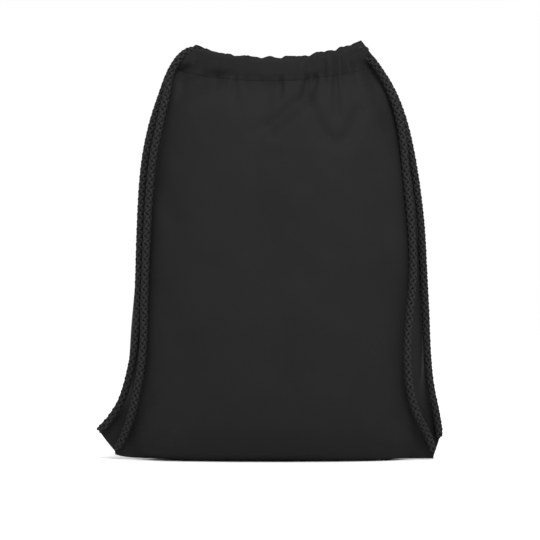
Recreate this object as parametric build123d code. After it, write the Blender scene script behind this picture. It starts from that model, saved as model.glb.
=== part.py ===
"""Drawstring backpack: two cloth panels, a drawcord casing round the mouth and two braided cords.

Millimetres. +Z is up and -Y is the front. Left and right are as seen from the front.
The origin is on the floor under the middle of the bag, which stands as if lightly filled.
"""

import os
from math import pi, radians, tan

from build123d import *

# ---- Driving dimensions -------------------------------------------------------------------
CLOTH = 2.0              # wall of the panels
CLEARANCE = 0.6          # gap round the part of the mouth that tilts open
HEM_GAP = 1.2            # gap between the top of the panels and the casings
FOLD_Z = 300.0           # height of the fold about which that part tilts
FLAP_X = (-40.0, 50.0)   # its left and right edges

CORD_DIAMETER = 7.0
CASING_HEIGHT, CASING_DEPTH, CASING_WALL = 24.0, 12.0, 1.4
CORD_RISE = 5.5          # the left cord runs this far above the casing's centre, the right one below
RUN_END = 1.5            # the runs stop this far inside the ends of the casing

TAB_THICKNESS = 4.0      # two layers of cloth and a folded seam allowance
ALLOWANCE = 10.0         # width of the seam allowances inside the bag
ALLOWANCE_THICKNESS = 1.6

# Horizontal sections of the filled bag, all ellipses: height, left edge, right edge, half depth.
SECTIONS = [
    (0.0, -122.0, 136.0, 26.0),
    (12.0, -138.0, 149.0, 41.0),
    (60.0, -142.0, 152.0, 55.0),
    (130.0, -139.0, 152.0, 59.0),
    (210.0, -132.0, 148.5, 58.0),
    (300.0, -120.0, 135.5, 47.0),
    (350.0, -106.0, 119.5, 35.0),
    (400.0, -81.0, 93.0, 21.0),
]

# Centre line of a casing: its two ends at the side seams and the sag between them.
LEFT_END = (-76.0, 6.5, 403.0)
SAG = (5.0, 22.0, 389.0)
RIGHT_END = (87.0, 6.5, 406.5)

# Bottom corner tabs in the X-Z plane: the tip, the cut corner, then round the inner side.
LEFT_TAB = [(-173, 30), (-155, 5.5), (-124, 1.5), (-120, 40), (-136, 88), (-151, 56)]
RIGHT_TAB = [(173, 30), (163.5, 2), (138, 1.5), (134, 40), (147, 98), (162, 60)]

# Free strands of the cords, from the mouth down to the cut corner.
LEFT_FRONT_ROUTE = [
    (-80, -7, 409), (-91, -9.8, 400), (-99.5, -12.5, 385), (-102.5, -17, 364), (-108.5, -23.5, 336),
    (-116, -28.5, 300), (-120, -32.5, 254), (-122.3, -35.5, 206), (-123.8, -37.5, 160),
    (-124.2, -38.5, 116), (-129, -35, 80), (-136, -26, 49), (-143, -14, 28), (-150, -7.2, 15),
]
LEFT_REAR_ROUTE = [
    (-80, 6.5, 409), (-91.5, 5.5, 401), (-100.5, 2, 386), (-108.5, -5, 362), (-118, -11.5, 332),
    (-125, -18, 294), (-127.5, -24.5, 252), (-129, -28, 206), (-130, -30.5, 160),
    (-132.5, -31.5, 118), (-138.5, -26, 86), (-147, -14.5, 59), (-158, -8, 42), (-168, -7, 31),
]
RIGHT_FRONT_ROUTE = [
    (92, -6.5, 402), (101, -8, 399), (109, -10, 388), (117.5, -12.5, 373), (126, -17, 350),
    (131.5, -22.5, 322), (134.5, -28, 284), (138.5, -31.5, 246), (141, -34, 208),
    (140.5, -36.5, 174), (136.5, -39.5, 141), (134.5, -41, 106), (137, -37.5, 73),
    (144, -29, 48), (154, -14, 32), (161.5, -7.3, 14),
]
RIGHT_REAR_ROUTE = [
    (92, 6.5, 402), (102, 5.5, 398), (111, 3.5, 387), (121, -2, 370), (131, -10, 345),
    (139, -17, 312), (145.5, -19.5, 272), (150.5, -19, 228), (152.5, -18, 184),
    (154.8, -16, 144), (156.3, -13, 106), (159.5, -10.5, 74), (165.5, -8, 48), (169, -7, 28),
]


# ---- The filled bag -----------------------------------------------------------------------
def filled_form(inset, floor):
    """The solid shape of the filled bag, with its sides moved in by inset and its base at floor."""
    faces = [
        Pos((left + right) / 2, 0, max(z, floor)) * Ellipse((right - left) / 2 - inset, depth - inset)
        for z, left, right, depth in SECTIONS
    ]
    return loft(faces)


def side_plate(points, thickness):
    """A plate in the X-Z plane, centred on the side seams."""
    outline = make_face(Polyline(*points, close=True))
    return extrude(Plane.XZ * outline, thickness / 2, both=True)


def above_hem():
    """Everything above the lower edge of the casings."""
    drop = CASING_HEIGHT / 2 + HEM_GAP
    left, middle, right = [(x, z - drop) for x, _, z in (LEFT_END, SAG, RIGHT_END)]
    edge = ThreePointArc(left, middle, right)
    rest = Polyline(right, (300, right[1]), (300, 500), (-300, 500), (-300, left[1]), left)
    return extrude(Plane.XZ * make_face([edge, rest]), 200, both=True)


def half_space(side):
    """The front (side -1) or the back (side +1) of the side seams."""
    return Pos(0, side * 150, 200) * Box(800, 300, 600)


def flap_block(gap):
    """The middle of the mouth above the fold, grown by gap at its sides and below."""
    left, right = FLAP_X[0] - gap, FLAP_X[1] + gap
    bottom, top = FOLD_Z - gap, 500
    return Pos((left + right) / 2, 0, (bottom + top) / 2) * Box(right - left, 400, top - bottom)


def seam_allowance(side, cavity):
    """The turned-in edges of both panels that stand inside the bag along one side."""
    edges = [(s[1] if side < 0 else s[2], s[0]) for s in SECTIONS if 10 <= s[0] <= 350]
    outside = [(x + side * 4, z) for x, z in edges]
    inside = [(x - side * (CLOTH + ALLOWANCE), z) for x, z in reversed(edges)]
    strip = side_plate(outside + inside, ALLOWANCE_THICKNESS) & cavity
    return strip.solids().sort_by(SortBy.VOLUME)[-1]


def bottom_allowance():
    """The turned-in edges of both panels that lie along the bottom of the bag, inside."""
    left, right = SECTIONS[0][1] + ALLOWANCE, SECTIONS[0][2] - ALLOWANCE
    height = CLOTH + ALLOWANCE_THICKNESS / 2
    return Pos((left + right) / 2, 0, height) * Box(
        right - left, 2 * ALLOWANCE, ALLOWANCE_THICKNESS
    )


# ---- The casing and the cords -------------------------------------------------------------
def casing_line(side, rise=0.0):
    """The centre line of the front (side -1) or back (side +1) casing, moved up by rise."""
    return ThreePointArc(*[(x, side * y, z + rise) for x, y, z in (LEFT_END, SAG, RIGHT_END)])


def casing_section(line, inset):
    """The outline of the casing, square to the start of its centre line."""
    plane = Plane(origin=line @ 0, x_dir=(0, 0, 1), z_dir=line % 0)
    height, depth = CASING_HEIGHT - 2 * inset, CASING_DEPTH - 2 * inset
    return plane * RectangleRounded(height, depth, depth * 0.42)


def casing(side):
    """The hemmed tube of cloth that the cords run in."""
    line = casing_line(side)
    return sweep(casing_section(line, 0) - casing_section(line, CASING_WALL), path=line)


def round_tube(line):
    """A cord's plain tube along a path."""
    return sweep(Plane(origin=line @ 0, z_dir=line % 0) * Circle(CORD_DIAMETER / 2), path=line)


def cord_run(side, rise):
    """The stretch of one cord inside a casing."""
    shortened = RIGHT_END[0] - LEFT_END[0] - 2 * RUN_END
    middle = (LEFT_END[0] + RIGHT_END[0]) / 2
    return round_tube(casing_line(side, rise)) & Pos(middle, 0, 400) * Box(shortened, 200, 200)


def cord_turn(end, direction, rise):
    """The half turn of a cord where it leaves one casing and goes back through the other."""
    x, y, z = end[0] - direction * RUN_END, end[1], end[2] + rise
    far = x + direction * (y + RUN_END)
    start, finish = (x + direction * RUN_END, -y, z), (x + direction * RUN_END, y, z)
    return round_tube(ThreePointArc(start, (far, 0, z), finish))


def thirds(shape):
    """A casing or a cord run cut into its left end, its middle and its right end."""
    left_cut = Pos(FLAP_X[0] - CLEARANCE - 200, 0, 400) * Box(400, 400, 400)
    right_cut = Pos(FLAP_X[1] + CLEARANCE + 200, 0, 400) * Box(400, 400, 400)
    return {"left": shape & left_cut, "middle": shape & flap_block(0), "right": shape & right_cut}


def strand(name, points):
    """A free strand: straight runs joined by arcs as large as the runs allow."""
    radii = []
    for a, b, c in zip(points, points[1:], points[2:]):
        before, after = Vector(*b) - Vector(*a), Vector(*c) - Vector(*b)
        turn = radians(before.get_angle(after))
        radii.append(0.45 * min(before.length, after.length) / tan(turn / 2))
    line = FilletPolyline(*points, radius=radii)
    tube = round_tube(line)
    share = tube.volume / (line.length * pi * CORD_DIAMETER**2 / 4)
    print(name, "length", round(line.length, 1), "volume share", round(share, 4))
    print("  radii", [round(r) for r in radii])
    return tube


# ---- The whole bag ------------------------------------------------------------------------
def build():
    """Every sub-part by its node name."""
    form = filled_form(0.0, 0.0)
    cavity = filled_form(CLOTH, CLOTH)
    shell = form - cavity - above_hem()
    parts = {}
    for name, side in (("front", -1), ("back", 1)):
        panel = shell & half_space(side)
        parts[f"{name}_panel"] = panel - flap_block(CLEARANCE)
        parts[f"{name}_mouth_flap"] = panel & flap_block(0)
        for place, piece in thirds(casing(side)).items():
            parts[f"{name}_casing_{place}"] = piece
        for cord, rise in (("left", CORD_RISE), ("right", -CORD_RISE)):
            for place, piece in thirds(cord_run(side, rise)).items():
                parts[f"{cord}_cord_{name}_run_{place}"] = piece
    for name, side, outline in (("left", -1, LEFT_TAB), ("right", 1, RIGHT_TAB)):
        tab = side_plate(outline, TAB_THICKNESS) - form
        parts[f"{name}_corner_tab"] = tab.solids().sort_by(SortBy.VOLUME)[-1]
        parts[f"{name}_seam_allowance"] = seam_allowance(side, cavity)
    parts["bottom_seam_allowance"] = bottom_allowance()
    parts["left_cord_turn"] = cord_turn(RIGHT_END, 1, CORD_RISE)
    parts["right_cord_turn"] = cord_turn(LEFT_END, -1, -CORD_RISE)
    parts["left_front_strand"] = strand("left front", LEFT_FRONT_ROUTE)
    parts["left_rear_strand"] = strand("left rear", LEFT_REAR_ROUTE)
    parts["right_front_strand"] = strand("right front", RIGHT_FRONT_ROUTE)
    parts["right_rear_strand"] = strand("right rear", RIGHT_REAR_ROUTE)
    return parts


os.makedirs("parts", exist_ok=True)
for node, shape in build().items():
    export_step(shape, f"parts/{node}.step")
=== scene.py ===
import math

import bpy
import numpy as np
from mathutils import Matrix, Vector


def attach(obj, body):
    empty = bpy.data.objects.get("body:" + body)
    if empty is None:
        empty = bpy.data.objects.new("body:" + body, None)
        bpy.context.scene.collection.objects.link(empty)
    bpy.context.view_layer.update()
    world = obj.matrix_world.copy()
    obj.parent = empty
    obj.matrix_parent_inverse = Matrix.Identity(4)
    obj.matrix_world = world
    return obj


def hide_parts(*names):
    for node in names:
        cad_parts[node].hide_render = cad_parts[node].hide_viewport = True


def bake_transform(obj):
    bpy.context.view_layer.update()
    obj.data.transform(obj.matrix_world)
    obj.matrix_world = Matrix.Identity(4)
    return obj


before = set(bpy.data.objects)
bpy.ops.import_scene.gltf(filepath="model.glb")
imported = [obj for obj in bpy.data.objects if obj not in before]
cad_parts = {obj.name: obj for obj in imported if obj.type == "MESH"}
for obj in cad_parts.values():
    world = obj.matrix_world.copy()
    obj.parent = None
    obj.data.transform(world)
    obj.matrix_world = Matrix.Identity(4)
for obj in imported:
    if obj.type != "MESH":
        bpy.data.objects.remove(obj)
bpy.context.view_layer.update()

rng = np.random.default_rng(7)
MM = 0.001
YARN_ROUND = 8.0         # texture length once round a plait strand

# ---- Driving dimensions -------------------------------------------------------------------
SHAPE_POWER = 2.3        # of the rounded section: 2 is an ellipse, more is squarer
ROUNDING = 8.0           # over which the corners of SECTIONS are rounded off
STRAIGHT_FOOT = 30.0     # below this height that rounding fades out
# Horizontal sections of the filled bag: height, left edge, right edge, half depth.
SECTIONS = np.array([
    (0.0, -122.0, 136.0, 26.0), (10.0, -135.0, 147.0, 39.0), (30.0, -140.0, 151.0, 48.0),
    (70.0, -142.0, 153.0, 55.0), (130.0, -139.0, 154.0, 59.0), (200.0, -132.5, 152.0, 58.5),
    (260.0, -127.0, 145.5, 53.5), (285.0, -124.0, 142.0, 49.5), (310.0, -120.5, 137.5, 44.5),
    (335.0, -115.0, 130.5, 38.5), (350.0, -110.5, 126.5, 34.5),
    (380.0, -101.5, 115.0, 26.0), (400.0, -93.0, 106.0, 20.0),
])
LEFT_TIP, RIGHT_TIP = (-173.0, 30.0), (173.0, 30.0)      # corner tips, X and Z
LEFT_FOOT, RIGHT_FOOT = (-155.0, 5.0), (163.5, 1.5)      # where the cut corners end below
LEFT_CORNER_REACH, RIGHT_CORNER_REACH = 15.0, 26.0       # height over which a tip fades into the seam
TAPER_START = 340.0                                      # above this the bag draws in to the hem

HEM_ENDS, HEM_MIDDLE = (-74.0, 91.0), 7.0                # ends and middle of the hem's upper edge in X
HEM_TOP = ((-74.0, 413.5), (7.0, 400.5), (91.0, 417.5))  # the same edge, X and Z
STITCH_ENDS = (-95.5, 108.0)                             # ends of the stitch line below it
STITCH_DEPTH, INNER_STITCH_DEPTH = 4.2, 0.4              # there, from the hem's centre line to each layer
HEM_HEIGHT = 22.0
HEM_DEPTH_ENDS, HEM_DEPTH_MIDDLE = 6.5, 22.0             # its centre line's distance from Y = 0
HEM_LEAST_DEPTH = 1.2                                    # which that distance never goes below
HEM_BULGE = 5.6                                          # sets how far the tube stands out
HEM_ROWS = 24                                            # rows of points round the hem's tube
HEM_OUTER_ROWS = 12                                      # of those, the ones in front of the cords

CORD_DIAMETER = 7.0
CORD_ROOM = 4.5                                          # half the room that the hem leaves for a cord
CORD_DROP = 0.6                                          # the cords' mean height below the hem's middle
HEM_CORD_RISE = 5.3                                      # the left cord is so far above it, the right below
HEM_RUN_ENDS = (-73, 86)                                 # in X, where the cords turn from front to back
SHEET_LIFT = 0.6                                         # the sheet's lowest points stand this high
SHEET_THICKNESS, EDGE_THICKNESS = 0.35, 0.7              # of the panels and of the turned-in edges
PANEL_WIDTH, PANEL_LENGTH = 360.0, 460.0                 # flat


def material(name, base, roughness):
    """A node material with its Principled shader and node tree."""
    made = bpy.data.materials.new(name)
    made.use_nodes = True
    tree = made.node_tree
    shader = tree.nodes["Principled BSDF"]
    shader.inputs["Base Color"].default_value = (*base, 1)
    shader.inputs["Roughness"].default_value = roughness
    return made, tree, shader


def node(tree, kind, **values):
    """A shader node; values are its sockets (by name, spaces as underscores) or properties."""
    made = tree.nodes.new(kind)
    for key, value in values.items():
        socket = key.replace("_", " ")
        if socket in made.inputs:
            made.inputs[socket].default_value = value
        else:
            setattr(made, key, value)
    return made


def scaled_uv(tree, scale, turn=0.0):
    """The piece's own flat coordinates in metres, times scale (per metre) and turned."""
    uv = tree.nodes.new("ShaderNodeUVMap")
    uv.uv_map = "flat"
    mapping = node(tree, "ShaderNodeMapping")
    mapping.inputs["Scale"].default_value = scale
    mapping.inputs["Rotation"].default_value = (0, 0, turn)
    tree.links.new(uv.outputs["UV"], mapping.inputs["Vector"])
    return mapping.outputs["Vector"]


def add_bump(tree, shader, height, strength, distance, below=None):
    """Bump from a height socket, on top of an earlier bump's normal."""
    bump = node(tree, "ShaderNodeBump", Strength=strength, Distance=distance)
    tree.links.new(height, bump.inputs["Height"])
    if below is not None:
        tree.links.new(below, bump.inputs["Normal"])
    tree.links.new(bump.outputs["Normal"], shader.inputs["Normal"])
    return bump.outputs["Normal"]


def taffeta():
    """Black polyester taffeta: fine plain weave, slight sheen, faint crumple."""
    made, tree, shader = material("black_taffeta", (0.012, 0.012, 0.012), 0.55)
    shader.inputs["Specular IOR Level"].default_value = 0.055
    links = tree.links

    mottle = node(tree, "ShaderNodeTexNoise", Scale=1.0, Detail=4.0, Roughness=0.6)
    links.new(scaled_uv(tree, (14, 11, 1)), mottle.inputs["Vector"])
    tone = node(tree, "ShaderNodeMapRange", To_Min=0.0085, To_Max=0.012)
    links.new(mottle.outputs["Fac"], tone.inputs["Value"])
    threads = node(tree, "ShaderNodeTexNoise", Scale=1.0, Detail=2.0)
    links.new(scaled_uv(tree, (2600, 60, 1)), threads.inputs["Vector"])
    slub = node(tree, "ShaderNodeMapRange", To_Min=0.93, To_Max=1.07)
    links.new(threads.outputs["Fac"], slub.inputs["Value"])
    product = node(tree, "ShaderNodeMath", operation="MULTIPLY")
    links.new(tone.outputs["Result"], product.inputs[0])
    links.new(slub.outputs["Result"], product.inputs[1])
    colour = node(tree, "ShaderNodeCombineColor")
    for channel in ("Red", "Green", "Blue"):
        links.new(product.outputs["Value"], colour.inputs[channel])
    links.new(colour.outputs["Color"], shader.inputs["Base Color"])

    gloss = node(tree, "ShaderNodeMapRange", To_Min=0.62, To_Max=0.76)
    links.new(mottle.outputs["Fac"], gloss.inputs["Value"])
    links.new(gloss.outputs["Result"], shader.inputs["Roughness"])

    crumple = node(tree, "ShaderNodeTexNoise", Scale=1.0, Detail=5.0, Roughness=0.55, Distortion=0.6)
    links.new(scaled_uv(tree, (42, 30, 1), 0.3), crumple.inputs["Vector"])
    normal = add_bump(tree, shader, crumple.outputs["Fac"], 0.16, 0.0025)
    warp = node(tree, "ShaderNodeTexWave", Scale=1.0, Distortion=0.4, bands_direction="X")
    links.new(scaled_uv(tree, (620, 620, 1)), warp.inputs["Vector"])
    weft = node(tree, "ShaderNodeTexWave", Scale=1.0, Distortion=0.4, bands_direction="Y")
    links.new(scaled_uv(tree, (620, 620, 1)), weft.inputs["Vector"])
    weave = node(tree, "ShaderNodeMath", operation="MULTIPLY")
    links.new(warp.outputs["Fac"], weave.inputs[0])
    links.new(weft.outputs["Fac"], weave.inputs[1])
    add_bump(tree, shader, weave.outputs["Value"], 0.22, 0.00008, normal)
    return made


def braid_yarn():
    """Soft matte polyester yarn: each plait strand shows its own twisted filaments, and its colour has
    painted shade, darker towards its rims and inner side, standing in for the shade between the strands.
    """
    made, tree, shader = material("braid_yarn", (0.019, 0.019, 0.02), 0.78)
    shader.inputs["Specular IOR Level"].default_value = 0.12
    links = tree.links
    fuzz = node(tree, "ShaderNodeTexNoise", Scale=1.0, Detail=3.0)
    links.new(scaled_uv(tree, (420, 300, 1)), fuzz.inputs["Vector"])
    tone = node(tree, "ShaderNodeMapRange", To_Min=0.012, To_Max=0.024)
    links.new(fuzz.outputs["Fac"], tone.inputs["Value"])
    # Painted light and shade: each strand is lightest on the crown that faces out and darker towards its
    # rims, as if lit from outside the cord.
    around = tree.nodes.new("ShaderNodeSeparateXYZ")
    links.new(scaled_uv(tree, (1, 2 * math.pi / (YARN_ROUND * MM), 1)), around.inputs["Vector"])
    crown_light = node(tree, "ShaderNodeMath", operation="SINE")
    links.new(around.outputs["Y"], crown_light.inputs[0])
    # Painted shade: the factor is held at 0.15 over the strand's rims and inner side, so these stay darkest,
    # as shade between the strands.
    rim = node(tree, "ShaderNodeMapRange", From_Min=0.15, To_Min=0.15)
    links.new(crown_light.outputs["Value"], rim.inputs["Value"])
    product = node(tree, "ShaderNodeMath", operation="MULTIPLY")
    links.new(tone.outputs["Result"], product.inputs[0])
    links.new(rim.outputs["Result"], product.inputs[1])
    colour = node(tree, "ShaderNodeCombineColor")
    for channel in ("Red", "Green", "Blue"):
        links.new(product.outputs["Value"], colour.inputs[channel])
    links.new(colour.outputs["Color"], shader.inputs["Base Color"])
    twist = node(tree, "ShaderNodeTexWave", Scale=1.0, Distortion=0.8, bands_direction="X")
    links.new(scaled_uv(tree, (1300, 1300, 1), 0.6), twist.inputs["Vector"])
    add_bump(tree, shader, twist.outputs["Fac"], 0.55, 0.0002)
    return made


def sewing_thread():
    """Black polyester thread, a little glossier than the cloth."""
    made, tree, shader = material("sewing_thread", (0.012, 0.012, 0.012), 0.6)
    shader.inputs["Specular IOR Level"].default_value = 0.1
    links = tree.links
    ply = node(tree, "ShaderNodeTexWave", Scale=900.0, bands_direction="DIAGONAL")
    place = tree.nodes.new("ShaderNodeTexCoord")
    links.new(place.outputs["Object"], ply.inputs["Vector"])
    add_bump(tree, shader, ply.outputs["Fac"], 0.5, 0.0001)
    return made


CLOTH, YARN, THREAD = taffeta(), braid_yarn(), sewing_thread()


# ---- Mesh helpers -------------------------------------------------------------------------
def grid_faces(rows, columns, closed=False):
    """Quads of a grid of points, rows by columns; closed joins the last column to the first."""
    across = columns if closed else columns - 1
    j, i = np.meshgrid(np.arange(rows - 1), np.arange(across), indexing="ij")
    after = (i + 1) % columns
    corners = (j * columns + i, j * columns + after, (j + 1) * columns + after, (j + 1) * columns + i)
    return np.stack(corners, -1).reshape(-1, 4)


def mesh_piece(name, points, faces, look, uv=None):
    """A smooth-shaded object from points in millimetres; uv gives one pair for each point."""
    mesh = bpy.data.meshes.new(name)
    mesh.from_pydata((np.asarray(points) * MM).tolist(), [], [tuple(f) for f in faces])
    mesh.polygons.foreach_set("use_smooth", [True] * len(mesh.polygons))
    if uv is not None:
        layer = mesh.uv_layers.new(name="flat")
        loops = np.zeros(len(mesh.loops), np.int32)
        mesh.loops.foreach_get("vertex_index", loops)
        layer.data.foreach_set("uv", (np.asarray(uv)[loops] * MM).astype(np.float32).ravel())
    mesh.materials.append(look)
    made = bpy.data.objects.new(name, mesh)
    bpy.context.scene.collection.objects.link(made)
    return made


def smooth_table(heights, column):
    """A column of SECTIONS at the given heights, with its corners rounded off."""
    fine = np.arange(-60.0, 480.0, 1.0)
    values = np.interp(fine, SECTIONS[:, 0], SECTIONS[:, column])
    reach = int(3 * ROUNDING)
    kernel = np.exp(-0.5 * (np.arange(-reach, reach + 1) / ROUNDING) ** 2)
    plain = np.interp(heights, fine, values)
    rounded = np.interp(heights, fine, np.convolve(values, kernel / kernel.sum(), "same"))
    share = np.clip(np.asarray(heights) / STRAIGHT_FOOT, 0, 1)
    return plain + (rounded - plain) * share


def parabola(x, points):
    """The parabola through three points, at x."""
    xs, zs = zip(*points)
    return np.polyval(np.polyfit(xs, zs, 2), x)


def hem_top(x):
    """Height of the hem's upper edge."""
    return parabola(x, HEM_TOP)


def hem_depth(x):
    """How far the hem's centre line stands from the middle plane."""
    ends = (HEM_ENDS[0], HEM_DEPTH_ENDS), (HEM_MIDDLE, HEM_DEPTH_MIDDLE), (HEM_ENDS[1], HEM_DEPTH_ENDS)
    return np.maximum(parabola(x, ends), HEM_LEAST_DEPTH)


def hem_middle_height(x):
    """The mean height of the two cords that run in the hem."""
    return hem_top(x) - HEM_HEIGHT / 2 - CORD_DROP


NOISE_CELLS, NOISE_START = 64, 20    # size of the noise's lattice, and its cell at 0, 0


def value_noise(a, b, scale, seed):
    """Smooth noise from -1 to 1 over two coordinates in millimetres."""
    lattice = np.random.default_rng(seed).uniform(-1, 1, (NOISE_CELLS, NOISE_CELLS))
    a, b = np.asarray(a) / scale + NOISE_START, np.asarray(b) / scale + NOISE_START
    i, j = np.floor(a).astype(int), np.floor(b).astype(int)
    s, t = a - i, b - j
    s, t = s * s * (3 - 2 * s), t * t * (3 - 2 * t)

    def corner(right, up):
        return lattice[(i + right) % NOISE_CELLS, (j + up) % NOISE_CELLS]

    lower = corner(0, 0) * (1 - s) + corner(1, 0) * s
    upper = corner(0, 1) * (1 - s) + corner(1, 1) * s
    return lower * (1 - t) + upper * t


# ---- Cords --------------------------------------------------------------------------------
LEFT_FRONT_ROUTE = [
    (-80, -7, 409), (-91, -9.8, 400), (-99.5, -12.5, 385), (-102.5, -17, 364), (-108.5, -23.5, 336),
    (-116, -28.5, 300), (-120, -32.5, 254), (-122.3, -35.5, 206), (-123.8, -37.5, 160),
    (-124.2, -38.5, 116), (-129, -35, 80), (-136, -26, 49), (-143, -14, 28), (-150, -7.2, 15),
]
LEFT_REAR_ROUTE = [
    (-80, 6.5, 409), (-91.5, 5.5, 401), (-100.5, 2, 386), (-108.5, -5, 362), (-118, -11.5, 332),
    (-125, -18, 294), (-127.5, -24.5, 252), (-129, -28, 206), (-130, -30.5, 160),
    (-132.5, -31.5, 118), (-138.5, -26, 86), (-147, -14.5, 59), (-158, -8, 42), (-168, -7, 31),
]
RIGHT_FRONT_ROUTE = [
    (92, -6.5, 402), (101, -8, 399), (109, -10, 388), (117.5, -12.5, 373), (126, -17, 350),
    (131.5, -22.5, 322), (134.5, -28, 284), (138.5, -31.5, 246), (141, -34, 208),
    (140.5, -36.5, 174), (136.5, -39.5, 141), (134.5, -41, 106), (137, -37.5, 73),
    (144, -29, 48), (154, -14, 32), (161.5, -7.3, 14),
]
RIGHT_REAR_ROUTE = [
    (92, 6.5, 402), (102, 5.5, 398), (111, 3.5, 387), (121, -2, 370), (131, -10, 345),
    (139, -17, 312), (145.5, -19.5, 272), (150.5, -19, 228), (152.5, -18, 184),
    (154.8, -16, 144), (156.3, -13, 106), (159.5, -10.5, 74), (165.5, -8, 48), (169, -7, 28),
]
BRAID_LAY = 30.0         # length in which one plait strand goes once round the cord
BRAID_RADIUS = 2.5       # of the strands' centre lines
BRAID_WEAVE = 0.7        # how far a strand goes over and under the others
BRAID_UNEVEN = 0.05      # slow change of that radius along the cord
YARN_WIDTH, YARN_THICKNESS = 1.62, 1.0    # half width and half thickness of a plait strand
YARN_WOBBLE = 0.12       # strands differ in half width by up to this much
YARN_SIDES = 7
BRAID_ROLL = 22.5        # degrees, where round the cord the first strand starts
BRAID_STEP, HEM_BRAID_STEP, TURN_BRAID_STEP = 1.35, 3.0, 1.5    # between rings: seen, hidden, half hidden


def centreline(route):
    """Points along the smooth line that a route's points control, in millimetres."""
    curve = bpy.data.curves.new("route", "CURVE")
    curve.dimensions = "3D"
    spline = curve.splines.new("NURBS")
    spline.points.add(len(route) - 1)
    for point, place in zip(spline.points, route):
        point.co = (*[c * MM for c in place], 1)
    spline.order_u = 3
    spline.use_endpoint_u = True
    spline.resolution_u = 24
    holder = bpy.data.objects.new("route", curve)
    bpy.context.scene.collection.objects.link(holder)
    bpy.context.view_layer.update()
    line = bpy.data.meshes.new_from_object(holder)
    points = np.array([v.co for v in line.vertices]) / MM
    bpy.data.objects.remove(holder)
    bpy.data.meshes.remove(line)
    bpy.data.curves.remove(curve)
    return points


def resample(points, step):
    """The same line with its points evenly spaced, about step apart."""
    along = np.r_[0, np.cumsum(np.linalg.norm(np.diff(points, axis=0), axis=1))]
    stations = np.linspace(0, along[-1], max(2, int(round(along[-1] / step)) + 1))
    return np.stack([np.interp(stations, along, points[:, k]) for k in range(3)], 1), stations


def frames(points, facing):
    """Two normals at each point that don't twist along a line; the first one looks to facing."""
    tangents = unit(np.gradient(points, axis=0))
    first = np.empty_like(points)
    normal = np.array(facing, float)
    for k, tangent in enumerate(tangents):
        normal = normal - tangent * (normal @ tangent)
        normal /= np.linalg.norm(normal)
        first[k] = normal
    return first, np.cross(tangents, first)


def unit(vectors):
    """Each row of vectors at length 1."""
    return vectors / np.linalg.norm(vectors, axis=1)[:, None]


def plait_strand(line, stations, first, second, direction, k):
    """Rings of points round one strand of a plait, and its width's own wobble from rng."""
    wobble = rng.uniform(-YARN_WOBBLE, YARN_WOBBLE)
    turn = 2 * np.pi * stations / BRAID_LAY
    angle = direction * turn + k * np.pi / 2 + math.radians(BRAID_ROLL)
    reach = BRAID_RADIUS + direction * BRAID_WEAVE * np.cos(4 * turn) + BRAID_UNEVEN * np.sin(turn / 3 + k)
    outward = first * np.cos(angle)[:, None] + second * np.sin(angle)[:, None]
    centre = line + outward * reach[:, None]
    heading = unit(np.gradient(centre, axis=0))
    across = unit(np.cross(outward, heading))
    up = np.cross(heading, across)
    sides = np.linspace(0, 2 * np.pi, YARN_SIDES, endpoint=False)
    ring = (across[:, None] * np.cos(sides)[None, :, None] * (YARN_WIDTH + wobble)
            + up[:, None] * np.sin(sides)[None, :, None] * YARN_THICKNESS)
    return (centre[:, None] + ring).reshape(-1, 3)


def strand_faces(rings, start):
    """Quads round a strand of so many rings, from point start on, and a fan that closes each end."""
    faces = (grid_faces(rings, YARN_SIDES, closed=True) + start).tolist()
    for ring in (0, rings - 1):
        hub = start + ring * YARN_SIDES
        faces += [(hub, hub + side, hub + side + 1) for side in range(1, YARN_SIDES - 1)]
    return faces


def braid(name, route, facing=(0, -1, 0), step=BRAID_STEP):
    """A round plait of eight flat strands along a route, and the cord's centre line."""
    line, stations = resample(centreline(route), step)
    first, second = frames(line, facing)
    around = np.broadcast_to(np.linspace(0, YARN_ROUND, YARN_SIDES, endpoint=False),
                             (len(line), YARN_SIDES))
    length = np.broadcast_to(stations[:, None], around.shape)
    points, faces, uv = [], [], []
    for direction in (1, -1):
        for k in range(4):
            faces += strand_faces(len(line), sum(len(p) for p in points))
            points.append(plait_strand(line, stations, first, second, direction, k))
            # Each strand has its own part of the yarn's texture.
            uv.append(np.stack([length + k * 40, around + direction * 24], -1).reshape(-1, 2))
    return mesh_piece(name, np.concatenate(points), faces, YARN, np.concatenate(uv)), line


def free_cord(side, place, lead, route, end, facing):
    """A free strand that starts inside the hem and has its end sewn into the corner."""
    name = f"{side}_{place}"
    made, line = braid(f"{name}_braid", [lead] + route + [end], facing)
    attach(made, f"{name}_cord")
    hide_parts(f"{name}_strand")
    return line


cord_lines = [
    free_cord("left", "front", (-71, -6.5, 408), LEFT_FRONT_ROUTE, (-152.5, -2.6, 11.5), (0.3, -1, 0)),
    free_cord("left", "rear", (-71, 6.5, 408), LEFT_REAR_ROUTE, (-169.5, -2.6, 30.0), (-0.3, -1, 0)),
    free_cord("right", "front", (83, -6.5, 401.5), RIGHT_FRONT_ROUTE, (162.5, -2.6, 10.0), (-0.3, -1, 0)),
    free_cord("right", "rear", (83, 6.5, 401.5), RIGHT_REAR_ROUTE, (168.5, -2.6, 23.5), (0.3, -1, 0)),
]


# ---- The cloth ----------------------------------------------------------------------------
COLUMNS = 231            # of points across a panel
# Gathers below the hem: where each valley starts in X, how far it drifts, its length and depth.
GATHERS = [
    (-66, -4, 26, 1.5), (-52, -3, 34, 1.4), (-35, 1, 44, 2.9), (-24, 0, 20, 1.2), (-9, -2, 26, 1.4),
    (11, -2, 46, 2.9), (24, -5, 22, 1.6), (37, -5, 34, 3.6), (46, -10, 40, 2.6), (54, 2, 40, 3.0),
    (65, 1, 60, 3.0), (74, 3, 34, 3.0), (83, 8, 44, 2.6),
]
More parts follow.
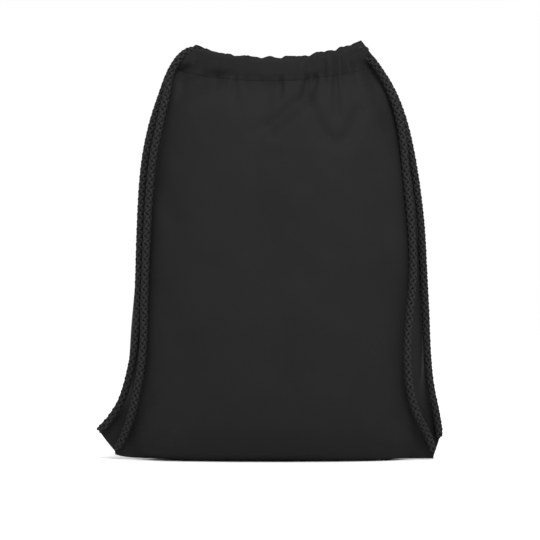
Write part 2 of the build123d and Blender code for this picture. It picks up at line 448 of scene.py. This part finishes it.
# Longer folds in the X-Z plane: the points of the line, half width and depth.
FOLDS = [
    (((47, 386), (32, 358), (0, 330)), 9, 5.6), (((64, 376), (66, 344)), 6, 1.8),
    (((38, 358), (44, 338), (54, 321), (66, 314), (78, 322), (88, 346)), 8, 3.6),
    (((-86, 373), (-36, 388)), 6, 4.8), (((-88, 362), (-50, 377)), 7, 3.8),
    (((2, 368), (-12, 324)), 9, 2.4), (((100, 380), (118, 330)), 8, 2.4),
    (((131, 70), (130, 8)), 8, 2.4), (((-118, 300), (-96, 238)), 12, 2.0),
    (((-108, 175), (-88, 118)), 14, 1.8), (((-160, 26), (-118, 62)), 7, 2.2),
    (((-150, 12), (-104, 22)), 7, 2.0), (((162, 20), (122, 44)), 7, 2.0),
    (((158, 8), (112, 12)), 6, 1.4), (((112, 240), (122, 160)), 14, 1.6),
    (((-60, 120), (10, 96)), 26, 1.2), (((40, 190), (96, 230)), 28, 1.0),
]


GATHER_WIDTH, GATHER_SPREAD = 2.3, 5.0   # a gather's half width at the hem, and what it gains lower down
GATHER_RIDGE, FOLD_RIDGE = 0.42, 0.45    # height of the ridges beside a gather or a fold, to its depth
CRUMPLE = ((70, 2.4), (31, 1.1), (13, 0.35))             # size and depth of each layer of noise
FULL_FOLDS_FROM = 22.0                   # half depth of the bag from which folds aren't held back
CALM_BELOW = 14.0                        # height below which gathers, folds and crumple fade out
INNER_LAYER_PUSH = -0.6                  # the hem's inner layer goes the other way
CORNER_LIFT, LIFT_REACH, LIFT_FADE = 4.4, 11.0, 9.0      # of the left corner: up, along X, along Z
CORNERS = ((-146, 26), (152, 22))        # where the sheet is evened out: X and reach
CORNER_HEIGHT, CORNER_FADE = 20.0, 34.0  # up to here, and how fast it ends above
CORNER_ROUNDS = 60
CORD_CLEARANCE = 0.4                     # between the front cloth and the free cords
FRONT_SEED, BACK_SEED = 11, 41           # of the crumple
MIRROR_X = 4.0                           # the back's folds mirror the front's about this X
BACK_FOLDS_ABOVE = 60.0                  # and only those that start above this height


def seam_x(level, side):
    """Where the side seam runs at a height, out to the corner tip and back along the cut corner."""
    left, right = (1, LEFT_TIP, LEFT_FOOT, LEFT_CORNER_REACH), (2, RIGHT_TIP, RIGHT_FOOT, RIGHT_CORNER_REACH)
    column, tip, foot, reach = left if side < 0 else right
    edge = smooth_table(level, column)
    at_tip = smooth_table(np.array([tip[1]]), column)[0]
    above = edge + (tip[0] - at_tip) * np.exp(-np.maximum(level - tip[1], 0) / reach)
    below = foot[0] + (tip[0] - foot[0]) * np.clip((level - foot[1]) / (tip[1] - foot[1]), 0, 1)
    return np.where(level >= tip[1], above, below)


def form_depth(x, level):
    """Half depth of the filled bag at a place in the X-Z plane."""
    left, right, depth = (smooth_table(level, k) for k in (1, 2, 3))
    t = np.abs(x - (left + right) / 2) / ((right - left) / 2)
    return depth * np.maximum(1 - t ** SHAPE_POWER, 0) ** (1 / SHAPE_POWER)


def crease(x, z, line, width):
    """How near a place is to a fold line, 1 on it, with a low ridge along both of its sides."""
    away = np.full_like(x, np.inf)
    for start, end in zip(line, line[1:]):
        a, along = np.array(start, float), np.subtract(end, start, dtype=float)
        t = np.clip(((x - a[0]) * along[0] + (z - a[1]) * along[1]) / (along @ along), 0, 1)
        away = np.minimum(away, np.hypot(x - a[0] - t * along[0], z - a[1] - t * along[1]))
    q = away / width
    return np.exp(-q * q) - FOLD_RIDGE * np.exp(-(q / 2.1) ** 2)


def gathers(x, drop):
    """Depth of the puckers at a distance below the hem's stitch line (negative inside the hem)."""
    total = np.zeros_like(x)
    for top, drift, length, depth in GATHERS:
        fade = np.clip(1 - np.maximum(drop, 0) / length, 0, 1) ** 1.3
        width = GATHER_WIDTH + GATHER_SPREAD * np.clip(np.maximum(drop, 0) / length, 0, 1)
        q = (x - top - drift * np.clip(drop / length, -0.3, 1)) / width
        total -= depth * fade * (np.exp(-q * q) - GATHER_RIDGE * np.exp(-(q / 2.0) ** 2))
    return total


def relax(points, weight, rounds):
    """Evens out a grid of points where weight is over 0, leaving its outline alone."""
    for _ in range(rounds):
        around = (points[:-2, 1:-1] + points[2:, 1:-1] + points[1:-1, :-2] + points[1:-1, 2:]) / 4
        points[1:-1, 1:-1] += (around - points[1:-1, 1:-1]) * weight[1:-1, 1:-1, None]
    return points


def press_cords(points, lines, radius, batch=4000):
    """Pushes cloth points back out of the cords, in batches that bound the memory used."""
    flat = points.reshape(-1, 3)
    for line in lines:
        sparse = line[::3]
        for start in range(0, len(flat), batch):
            part = flat[start:start + batch]
            distance = np.linalg.norm(part[:, None] - sparse[None], axis=2)
            nearest = distance.argmin(1)
            near = distance[np.arange(len(part)), nearest] < radius
            target = sparse[nearest[near]]
            aside = ((part[near] - target) ** 2)[:, [0, 2]].sum(1)
            part[near, 1] = target[:, 1] + np.sqrt(np.maximum(radius ** 2 - aside, 0))
    return points


def clear_hem_cords(points, first):
    """Keeps both layers of the hem, from row first up, off the cords that run in it."""
    x = np.clip(points[first:, :, 0], *HEM_ENDS)
    away = np.maximum(np.abs(points[first:, :, 2] - hem_middle_height(x)) - HEM_CORD_RISE, 0)
    reach = CORD_ROOM * np.sqrt(np.maximum(1 - (away / CORD_ROOM) ** 2, 0))
    depth = -points[first:, :, 1]
    outer = np.maximum(depth, hem_depth(x) + reach)
    inner = np.minimum(depth, hem_depth(x) - reach)
    layer = np.arange(len(depth))[:, None] < HEM_OUTER_ROWS
    points[first:, :, 1] = -np.where(layer, outer, inner)
    return points


def between(ends, u):
    """Places at shares u of the way from one end to the other."""
    return ends[0] + u * (ends[1] - ends[0])


def stitch_ahead(u):
    """How far the outer layer stands out at the stitch line: less towards the side seams."""
    return STITCH_DEPTH * (1 - np.abs(2 * u - 1) ** 6)


def body_rows(u):
    """Rows of the sheet from the bottom seam, out under the bag, and up its filled part."""
    under = [(0.0, share) for share in np.linspace(0, 1, 9)[:-1]]
    levels = np.concatenate([np.linspace(0, 30, 16)[:-1], np.linspace(30, TAPER_START, 112)])
    rows = []
    for level, share in under + [(level, 1.0) for level in levels]:
        x = between((seam_x(np.array([level]), -1), seam_x(np.array([level]), 1)), u)
        depth = form_depth(x, np.full_like(x, level)) * share
        rows.append(np.stack([x, -depth, np.full_like(x, level + SHEET_LIFT)], 1))
    return rows


def taper_rows(u):
    """Rows from the filled part to the hem's stitch line, along which the bag draws in."""
    stitch_level = hem_top(between(HEM_ENDS, u)) - HEM_HEIGHT
    rows = []
    for share in np.linspace(0, 1, 27)[1:]:
        level = TAPER_START + share * (stitch_level - TAPER_START)
        x = between((seam_x(level, -1), seam_x(level, 1)), u)
        x = x + (between(STITCH_ENDS, u) - x) * share ** 4
        depth = form_depth(x, level)
        depth = depth + (hem_depth(x) + stitch_ahead(u) - depth) * share ** 2
        rows.append(np.stack([x, -depth, level + SHEET_LIFT * (1 - share)], 1))
    return rows


def hem_rows(u):
    """Rows round the hem's tube: up its outer layer, over the top and down inside."""
    x_stitch, x_top = between(STITCH_ENDS, u), between(HEM_ENDS, u)
    rows = []
    for turn in np.linspace(0, 1, HEM_ROWS + 1)[1:]:
        angle = np.pi * turn
        up = np.sin(angle)
        bulge = HEM_BULGE * np.cos(angle) * np.sin(np.pi * min(turn, 1 - turn)) * 1.25
        at_stitch = stitch_ahead(u) if turn < 0.5 else INNER_STITCH_DEPTH
        x = x_stitch + (x_top - x_stitch) * up
        depth = hem_depth(x) + bulge + at_stitch * (1 - up)
        rows.append(np.stack([x, -depth, hem_top(x_top) - HEM_HEIGHT * (1 - up)], 1))
    return rows


def ease_corners(points):
    """Lifts the left cut corner off the floor and evens the sheet out into both corner tips."""
    lift = CORNER_LIFT * np.exp(-np.maximum(points[..., 0] - LEFT_FOOT[0], 0) / LIFT_REACH)
    points[..., 2] += lift * np.exp(-points[..., 2] / LIFT_FADE)
    near = sum(np.exp(-((points[..., 0] - place) / reach) ** 2) for place, reach in CORNERS)
    near *= np.exp(-(np.maximum(points[..., 2] - CORNER_HEIGHT, 0) / CORNER_FADE) ** 2)
    return relax(points, np.clip(near * 1.3, 0, 1), CORNER_ROUNDS)


def add_folds(points, first_hem_row, seed, folds):
    """Pushes the sheet in and out by its gathers, folds and crumple, least at the side seams."""
    x, z = points[..., 0], points[..., 2]
    drop = hem_top(np.clip(x, *HEM_ENDS)) - HEM_HEIGHT - z
    middle = np.clip(form_depth(x, np.minimum(z, TAPER_START)) / FULL_FOLDS_FROM, 0, 1)
    push = gathers(x, drop)
    for line, width, depth in folds:
        push -= depth * crease(x, z, line, width) * middle
    push += middle * sum(depth * value_noise(x, z, size, seed + k)
                         for k, (size, depth) in enumerate(CRUMPLE))
    by_layer = np.ones_like(push)
    by_layer[first_hem_row + HEM_OUTER_ROWS:] = INNER_LAYER_PUSH
    points[..., 1] -= push * np.clip(z / CALM_BELOW, 0, 1) * by_layer
    inside = np.clip(-drop / HEM_HEIGHT, 0, 1)
    points[..., 2] += inside * (0.45 * push + 1.2 * value_noise(x, 0 * x, 8, seed + 3))


def sheet_points(seed, folds):
    """The front panel with its hem as a grid of points, rows from the bottom seam to the hem's inside."""
    u = np.linspace(0, 1, COLUMNS)
    points = ease_corners(np.array(body_rows(u) + taper_rows(u) + hem_rows(u)))
    first_hem_row = len(points) - HEM_ROWS
    add_folds(points, first_hem_row, seed, folds)
    return clear_hem_cords(points, first_hem_row)


def front_grid():
    """The front panel, pressed back where the free cords lie on it."""
    return press_cords(sheet_points(FRONT_SEED, FOLDS), cord_lines, CORD_DIAMETER / 2 + CORD_CLEARANCE)


def back_grid():
    """The back panel, with the front's upper and middle folds mirrored left to right."""
    mirrored = [(tuple((2 * MIRROR_X - x, z) for x, z in line), width, depth)
                for line, width, depth in FOLDS if line[0][1] > BACK_FOLDS_ABOVE]
    points = sheet_points(BACK_SEED, mirrored)
    points[..., 1] *= -1
    return points


def blend_mouth(piece):
    """Bakes the piece's placement into its mesh."""
    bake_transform(piece)


def thicken(piece, name, thickness, offset):
    """Gives a surface the thickness of a sheet, in the piece's own mesh."""
    shell = piece.modifiers.new(name, "SOLIDIFY")
    shell.thickness, shell.offset = thickness * MM, offset
    graph = bpy.context.evaluated_depsgraph_get()
    result = bpy.data.meshes.new_from_object(piece.evaluated_get(graph))
    piece.modifiers.clear()
    piece.data = result


def cloth_piece(name, points, flip, replaced):
    """One panel with its hem, thickened to a real sheet."""
    rows, columns = points.shape[:2]
    steps_u = np.r_[0, np.cumsum(np.full(columns - 1, PANEL_WIDTH / (columns - 1)))]
    steps_v = np.r_[0, np.cumsum(np.linalg.norm(np.diff(points[:, columns // 2], axis=0), axis=1))]
    uv = np.stack(np.meshgrid(steps_u, steps_v), -1).reshape(-1, 2)
    faces = grid_faces(rows, columns)
    if flip:
        faces = faces[:, ::-1]
    piece = mesh_piece(name, points.reshape(-1, 3), faces, CLOTH, uv)
    thicken(piece, "sheet", SHEET_THICKNESS, -1)
    piece.data.polygons.foreach_set("use_smooth", [True] * len(piece.data.polygons))
    blend_mouth(piece)
    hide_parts(*replaced)


front, back = front_grid(), back_grid()
cloth_piece("front_cloth", front, False,
            ["front_panel", "front_mouth_flap", "front_casing_left", "front_casing_middle",
             "front_casing_right", "left_corner_tab"])
cloth_piece("back_cloth", back, True,
            ["back_panel", "back_mouth_flap", "back_casing_left", "back_casing_middle",
             "back_casing_right", "right_corner_tab"])


# ---- Cords inside the hem -----------------------------------------------------------------
TURN_START, TURN_REACH = 5, 9    # how far past its runs a cord's turn begins and reaches, in X


def hem_run(name, side, rise):
    """One cord's run through the front (side -1) or back (side 1) of the hem."""
    route = [(x, side * hem_depth(x), hem_middle_height(x) + rise) for x in np.linspace(*HEM_RUN_ENDS, 9)]
    return braid(name, route, facing=(0, side, 0), step=HEM_BRAID_STEP)[0]


def join(name, pieces):
    """Several objects made into one."""
    with bpy.context.temp_override(active_object=pieces[0], selected_editable_objects=pieces):
        bpy.ops.object.join()
    pieces[0].name = name
    return pieces[0]


def hem_cords():
    """The parts of both cords that lie inside the hem, and their turns at its ends."""
    for name, side in (("front", -1), ("back", 1)):
        runs = [hem_run(f"{name}_run_{k}", side, rise)
                for k, rise in enumerate((HEM_CORD_RISE, -HEM_CORD_RISE))]
        both = join(f"{name}_hem_cords", runs)
        blend_mouth(both)
        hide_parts(*[f"{cord}_cord_{name}_run_{place}" for cord in ("left", "right")
                            for place in ("left", "middle", "right")])
    for cord, end, way, rise in (("left", HEM_RUN_ENDS[1], 1, HEM_CORD_RISE),
                                 ("right", HEM_RUN_ENDS[0], -1, -HEM_CORD_RISE)):
        z, y = hem_middle_height(end) + rise, hem_depth(end)
        near, far = end + way * TURN_START, end + way * TURN_REACH
        route = [(end, -y, z), (near, -y, z), (far, -y * 0.75, z - 1),
                 (far, y * 0.75, z - 1), (near, y, z), (end, y, z)]
        turn = braid(f"{cord}_cord_loop", route, facing=(0, 0, 1), step=TURN_BRAID_STEP)[0]
        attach(turn, "bag")
        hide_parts(f"{cord}_cord_turn")


hem_cords()


# ---- Seam allowances and stitching --------------------------------------------------------
def ribbon(name, edge, inward, width, seed):
    """A raw cloth edge with a slightly wavy rim and two layers, along a line."""
    line, stations = resample(np.array(edge, float), 2.5)
    wave = np.random.default_rng(seed).uniform(0, 6, 3)
    reach = width + 0.9 * np.sin(stations / 9 + wave[0]) + 0.5 * np.sin(stations / 4.1 + wave[1])
    lean = 0.5 * np.sin(stations / 14 + wave[2])
    steps = np.linspace(0, 1, 6)
    inward = np.array(inward, float)
    sideways = np.cross(inward, np.gradient(line, axis=0))
    sideways /= np.linalg.norm(sideways, axis=1)[:, None]
    points = (line[:, None] + inward * (reach[:, None] * steps)[..., None]
              + sideways[:, None] * (lean[:, None] * steps ** 2)[..., None])
    uv = np.stack(np.meshgrid(steps * width, stations), -1).reshape(-1, 2)
    piece = mesh_piece(name, points.reshape(-1, 3), grid_faces(len(line), len(steps)), CLOTH, uv)
    thicken(piece, "layers", EDGE_THICKNESS, 0)
    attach(piece, "bag")
    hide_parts(name.replace("_edges", "_allowance"))


def seam_edges():
    """The turned-in edges of the panels, inside the bag."""
    heights = np.array([16, 40, 80, 130, 200, 260, 310, 345], float)
    for name, side in (("left", -1), ("right", 1)):
        x = smooth_table(heights, 1 if side < 0 else 2) - side * 5
        ribbon(f"{name}_seam_edges", np.stack([x, 0 * x, heights], 1), (-side, 0, 0), 9, 3 + side)
    ribbon("bottom_seam_edges", [(-112, 9, 3.2), (7, 9, 2.6), (126, 9, 3.2)], (0, -1, 0), 18, 9)


seam_edges()


THREAD_RADIUS = 0.26
STITCH_SHARE = 0.84      # of the pitch; the rest is the gap between two stitches
STITCH_BOW, STITCH_SINK = 0.42, 0.12      # how far a stitch stands out, and how deep its ends are
HEM_PITCH, CORNER_PITCH = 3.0, 2.4
STITCH_ROW = -HEM_ROWS - 2                # of a panel's rows, the one that the hem's stitches follow
CORNER_ROWS = slice(9, 24)


def stitch_row(name, path, outward, pitch, body=None):
    """A row of machine stitches: short rounded threads that dip into the cloth at both ends."""
    line, _ = resample(np.asarray(path, float), pitch)
    bow = np.linspace(0, 1, 6)
    sides = np.linspace(0, 2 * np.pi, 6, endpoint=False)
    outward = np.array(outward, float)
    points, faces = [], []
    for a, b in zip(line, line[1:]):
        along = (b - a) * STITCH_SHARE
        lift = STITCH_BOW * np.sin(np.pi * bow) - STITCH_SINK
        spine = a + along * bow[:, None] + outward * lift[:, None]
        across = np.cross(along, outward)
        across /= np.linalg.norm(across)
        ring = THREAD_RADIUS * (across * np.cos(sides)[:, None] + outward * np.sin(sides)[:, None])
        faces.append(grid_faces(len(bow), len(sides), closed=True) + sum(len(p) for p in points))
        points.append((spine[:, None] + ring[None]).reshape(-1, 3))
    piece = mesh_piece(name, np.concatenate(points), np.concatenate(faces), THREAD)
    if body:
        blend_mouth(piece)
    else:
        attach(piece, "bag")


def stitching():
    """The stitches below the hem and down both corners, on each panel."""
    for name, grid, side in (("front", front, -1), ("back", back, 1)):
        stitch_row(f"{name}_hem_stitches", grid[STITCH_ROW, 3:-3] + (0, side * 0.35, 0), (0, side, 0),
                   HEM_PITCH, f"{name}_mouth")
        for corner, column in (("left", 3), ("right", -4)):
            stitch_row(f"{name}_{corner}_corner_stitches",
                       grid[CORNER_ROWS, column] + (0, side * 0.3, 0), (0, side, 0), CORNER_PITCH)


stitching()


# ---- Light, floor and camera --------------------------------------------------------------
FLOOR_REACH, FLOOR_Z = 6000, -0.5    # the floor is just below the bag


def area_light(name, place, target, size, power):
    """A soft square light that looks at a target."""
    data = bpy.data.lights.new(name, "AREA")
    data.size, data.energy = size, power
    made = bpy.data.objects.new(name, data)
    bpy.context.scene.collection.objects.link(made)
    made.location = place
    direction = np.array(target) - np.array(place)
    made.rotation_euler = Vector(direction).to_track_quat("-Z", "Y").to_euler()


def studio():
    """A white room: pale floor, even white surroundings and a large soft light in front."""
    world = bpy.data.worlds.new("studio")
    world.use_nodes = True
    world.node_tree.nodes["Background"].inputs["Color"].default_value = (1, 1, 1, 1)
    world.node_tree.nodes["Background"].inputs["Strength"].default_value = 1.0
    bpy.context.scene.world = world
    corners = [(-FLOOR_REACH, -FLOOR_REACH), (FLOOR_REACH, -FLOOR_REACH),
               (FLOOR_REACH, FLOOR_REACH), (-FLOOR_REACH, FLOOR_REACH)]
    floor = mesh_piece("floor", [(x, y, FLOOR_Z) for x, y in corners], [(0, 1, 2, 3)],
                       material("floor_white", (0.99, 0.99, 0.99), 1.0)[0])
    area_light("front_softbox", place=(0.35, -1.35, 1.9), target=(0, 0, 0.22), size=0.8, power=43)


def camera():
    """Level with the middle of the bag, far enough away to look nearly flat."""
    data = bpy.data.cameras.new("camera")
    data.lens, data.sensor_width = 160, 36
    made = bpy.data.objects.new("camera", data)
    bpy.context.scene.collection.objects.link(made)
    made.location = (0, -2.4, 0.21)
    made.rotation_euler = (math.radians(90 - 0.5), 0, 0)
    bpy.context.scene.camera = made


studio()
camera()
bpy.context.scene.view_settings.view_transform = "Standard"
